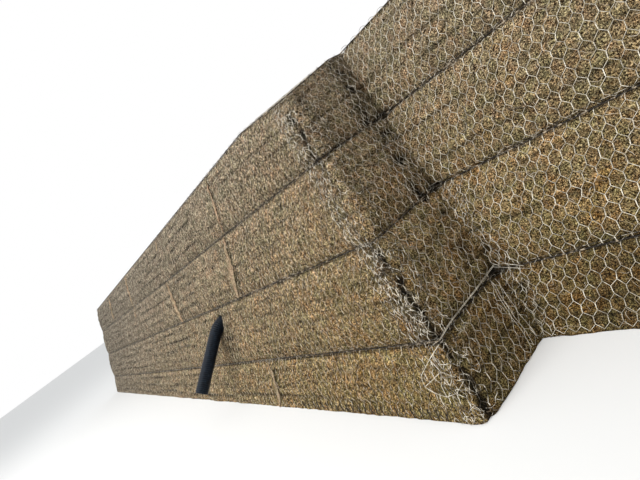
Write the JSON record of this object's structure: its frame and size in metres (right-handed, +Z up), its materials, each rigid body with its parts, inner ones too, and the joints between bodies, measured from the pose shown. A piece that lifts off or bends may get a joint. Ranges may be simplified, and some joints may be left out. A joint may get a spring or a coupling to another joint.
{
  "type": "soil-filled gabion wall",
  "caption": "Battered retaining wall of soil-filled wire mesh baskets lined with coir matting, laid in courses, stepped back once in plan, with a corrugated drain outlet.",
  "frame": {"origin": "on the ground, at the middle of the whole wall with its drain outlet", "axes": "+X along the wall to the right seen from the front, +Y into the wall, +Z up"},
  "size_m": [18, 3.3826, 2.4835],
  "materials": {
    "coir_mat": "rough woven coconut fibre",
    "mesh_wire": "dull coated galvanised wire",
    "drain_plastic": "black, slightly dusty"
  },
  "bodies": {
    "root": {"course_1_bay_1": "coir_mat", "course_1_bay_2": "coir_mat", "course_1_bay_3": "coir_mat", "course_1_bay_4": "coir_mat", "course_1_bay_5": "coir_mat", "course_1_bay_6": "coir_mat", "course_2_bay_1": "coir_mat", "course_2_bay_2": "coir_mat", "course_2_bay_3": "coir_mat", "course_2_bay_4": "coir_mat", "course_2_bay_5": "coir_mat", "course_2_bay_6": "coir_mat", "course_3_bay_1": "coir_mat", "course_3_bay_2": "coir_mat", "course_3_bay_3": "coir_mat", "course_3_bay_4": "coir_mat", "course_3_bay_5": "coir_mat", "course_3_bay_6": "coir_mat", "course_4_bay_1": "coir_mat", "course_4_bay_2": "coir_mat", "course_4_bay_3": "coir_mat", "course_4_bay_4": "coir_mat", "course_4_bay_5": "coir_mat", "course_4_bay_6": "coir_mat", "seam_wires_1": "mesh_wire", "seam_wires_2": "mesh_wire", "seam_wires_3": "mesh_wire", "top_edge_wires": "mesh_wire", "drain_pipe": "drain_plastic"}
  },
  "joints": []
}
